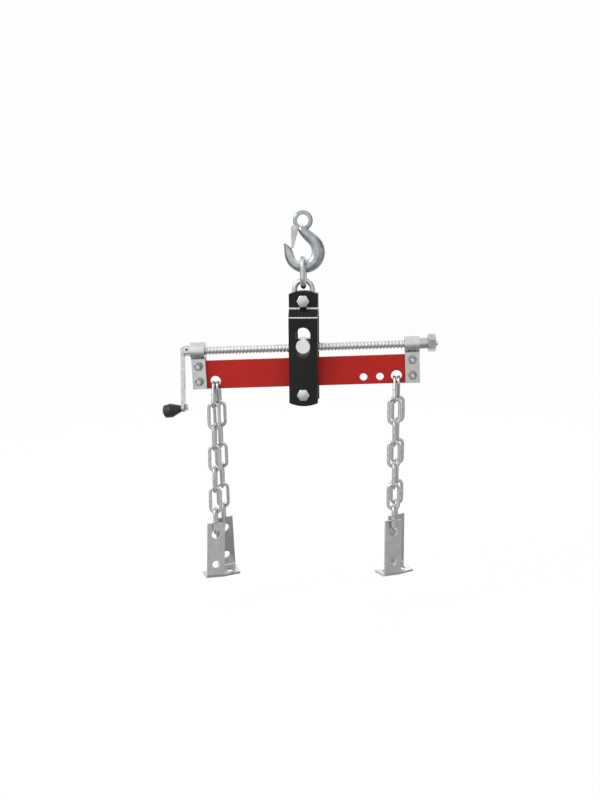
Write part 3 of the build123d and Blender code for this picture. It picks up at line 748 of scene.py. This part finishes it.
def make_chain_welds(chain):
    """Beads on the links of one chain, whose places follow from its hinges."""
    links = [f"{chain}_link_{number}" for number in range(1, chain_links + 1)]
    hinges = [joints[f"{name}_swing"] for name in (*links, f"{chain}_bracket")]
    pivots = [Vector(hinge["pos_m"]) for hinge in hinges]
    for link, hinge, high, low in zip(links, hinges, pivots, pivots[1:]):
        if link == links[0]:
            # The first link turns about the centre of its upper bend
            low = low + Vector((0, 0, link_bend_radius))
            rise = 0
        else:
            # The others turn about the wire that they hang on
            rise = link_wire_radius + link_gap / 2
        up = (high - low).normalized()
        make_weld(link, (high + low) / 2 + up * rise, up, up.cross(Vector(hinge["axis"])))


for end in ("left", "right"):
    for side in ("front", "back"):
        make_chain_welds(f"{end}_{side}")

# Stage, light and camera

# Floor: half its width, its distance below the brackets, its paper and the share of white of its own
floor_half_size = 9.0
floor_drop = 60 * MM
floor_colour = (0.9, 0.9, 0.9, 1.0)
floor_roughness = 0.9
floor_glow = 0.95

# Room: direction of its bright side, greys from the side turned away to the bright one, ceiling and backdrop
room_window = Vector((-0.35, -0.75, 0.55))
facing_span = (-1.0, 1.0)
room_ends = ((0.30, (0.44, 0.45, 0.46, 1.0)), (0.92, (1.15, 1.15, 1.15, 1.0)))
room_levels = ((0.46, 0.27), (0.58, 0.33), (0.66, 0.52), (0.74, 0.42), (0.80, 0.78))
ceiling_edges = (0.6, 0.9)
ceiling_colour = (1.1, 1.1, 1.1)
backdrop_edges = (0.1, 0.6)
backdrop_colour = (0.99, 0.99, 0.99, 1.0)

# Lamps, placed from the camera's target, with the width of their square and watts
LAMPS = (Lamp("key", (-1.7, -1.0, 1.3), size=0.9, power=20.0),
         Lamp("fill", (1.5, -1.1, -0.2), size=1.8, power=2.6),
         Lamp("back", (0.4, 1.4, 1.0), size=1.8, power=6.0))


def make_floor():
    """Wide pale floor a little below the hanging brackets."""
    size = floor_half_size
    level = cad_box[0][2] - floor_drop
    corners = [(-size, -size, level), (size, -size, level), (size, size, level), (-size, size, level)]
    mesh = bpy.data.meshes.new("floor")
    mesh.from_pydata(corners, [], [(0, 1, 2, 3)])
    floor = bpy.data.objects.new("floor", mesh)
    bpy.context.scene.collection.objects.link(floor)
    material, tree, shader = new_material("floor_paper")
    shader.inputs["Base Color"].default_value = floor_colour
    shader.inputs["Roughness"].default_value = floor_roughness
    path = tree.nodes.new("ShaderNodeLightPath")
    glow = tree.nodes.new("ShaderNodeEmission")
    pale = tree.nodes.new("ShaderNodeMixShader")
    tree.links.new(product(tree, path.outputs["Is Camera Ray"], floor_glow), pale.inputs["Fac"])
    tree.links.new(shader.outputs["BSDF"], pale.inputs[1])
    tree.links.new(glow.outputs["Emission"], pale.inputs[2])
    tree.links.new(pale.outputs["Shader"], tree.nodes["Material Output"].inputs["Surface"])
    mesh.materials.append(material)
    floor.visible_glossy = False


def make_world():
    """White behind the object; a soft room, brightest ahead and above, lights it and shows in the metal."""
    world = bpy.data.worlds.new("studio")
    bpy.context.scene.world = world
    world.use_nodes = True
    tree = world.node_tree
    tree.nodes.clear()
    direction = tree.nodes.new("ShaderNodeTexCoord").outputs["Generated"]
    place = split(tree, direction)
    facing = measure(tree, "DOT_PRODUCT", direction, room_window.normalized())
    ramp = tree.nodes.new("ShaderNodeValToRGB")
    stops = ramp.color_ramp.elements
    for stop, (position, colour) in zip(stops, room_ends):
        stop.position = position
        stop.color = colour
    for position, level in room_levels:
        stops.new(position).color = (level, level, level, 1.0)
    tree.links.new(remap(tree, facing, facing_span), ramp.inputs["Fac"])
    ceiling = remap(tree, place["Z"], ceiling_edges)
    room = tree.nodes.new("ShaderNodeBackground")
    lit = blend_colours(tree, ceiling, ramp.outputs["Color"], ceiling_colour)
    tree.links.new(lit, room.inputs["Color"])
    white = tree.nodes.new("ShaderNodeBackground")
    white.inputs["Color"].default_value = backdrop_colour
    path = tree.nodes.new("ShaderNodeLightPath").outputs
    mirrored = calculate(tree, "MAXIMUM", path["Is Glossy Ray"], path["Is Transmission Ray"])
    reflected = product(tree, mirrored, remap(tree, place["Y"], backdrop_edges))
    mix = tree.nodes.new("ShaderNodeMixShader")
    tree.links.new(calculate(tree, "MAXIMUM", reflected, path["Is Camera Ray"]), mix.inputs["Fac"])
    tree.links.new(room.outputs["Background"], mix.inputs[1])
    tree.links.new(white.outputs["Background"], mix.inputs[2])
    output = tree.nodes.new("ShaderNodeOutputWorld")
    tree.links.new(mix.outputs["Shader"], output.inputs["Surface"])


def make_lamp(lamp):
    """Soft square lamp aimed at the middle of the object."""
    light = bpy.data.lights.new(lamp.name, "AREA")
    light.energy = lamp.power
    light.size = lamp.size
    holder = bpy.data.objects.new(lamp.name, light)
    holder.location = camera_target + Vector(lamp.place)
    holder.rotation_euler = (camera_target - holder.location).to_track_quat("-Z", "Y").to_euler()
    bpy.context.scene.collection.objects.link(holder)


def make_camera():
    """Camera at the photograph's angle and distance."""
    ahead = Vector((-sin(camera_azimuth), cos(camera_azimuth), 0))
    forward = ahead * cos(camera_elevation) - Vector((0, 0, sin(camera_elevation)))
    level = Vector((cos(camera_azimuth), sin(camera_azimuth), 0))
    upright = level.cross(forward)
    right = level * cos(camera_roll) + upright * sin(camera_roll)
    up = upright * cos(camera_roll) - level * sin(camera_roll)
    lens = bpy.data.cameras.new("camera")
    lens.sensor_fit = "VERTICAL"
    lens.sensor_height = sensor_height
    lens.lens = sensor_height * focal_pixels / image_height
    camera = bpy.data.objects.new("camera", lens)
    turn = Matrix((right, up, -forward)).transposed().to_4x4()
    camera.matrix_world = Matrix.Translation(camera_target - forward * camera_distance) @ turn
    bpy.context.scene.collection.objects.link(camera)
    bpy.context.scene.camera = camera


make_floor()
make_world()
for lamp in LAMPS:
    make_lamp(lamp)
make_camera()
bpy.context.scene.view_settings.view_transform = "Standard"
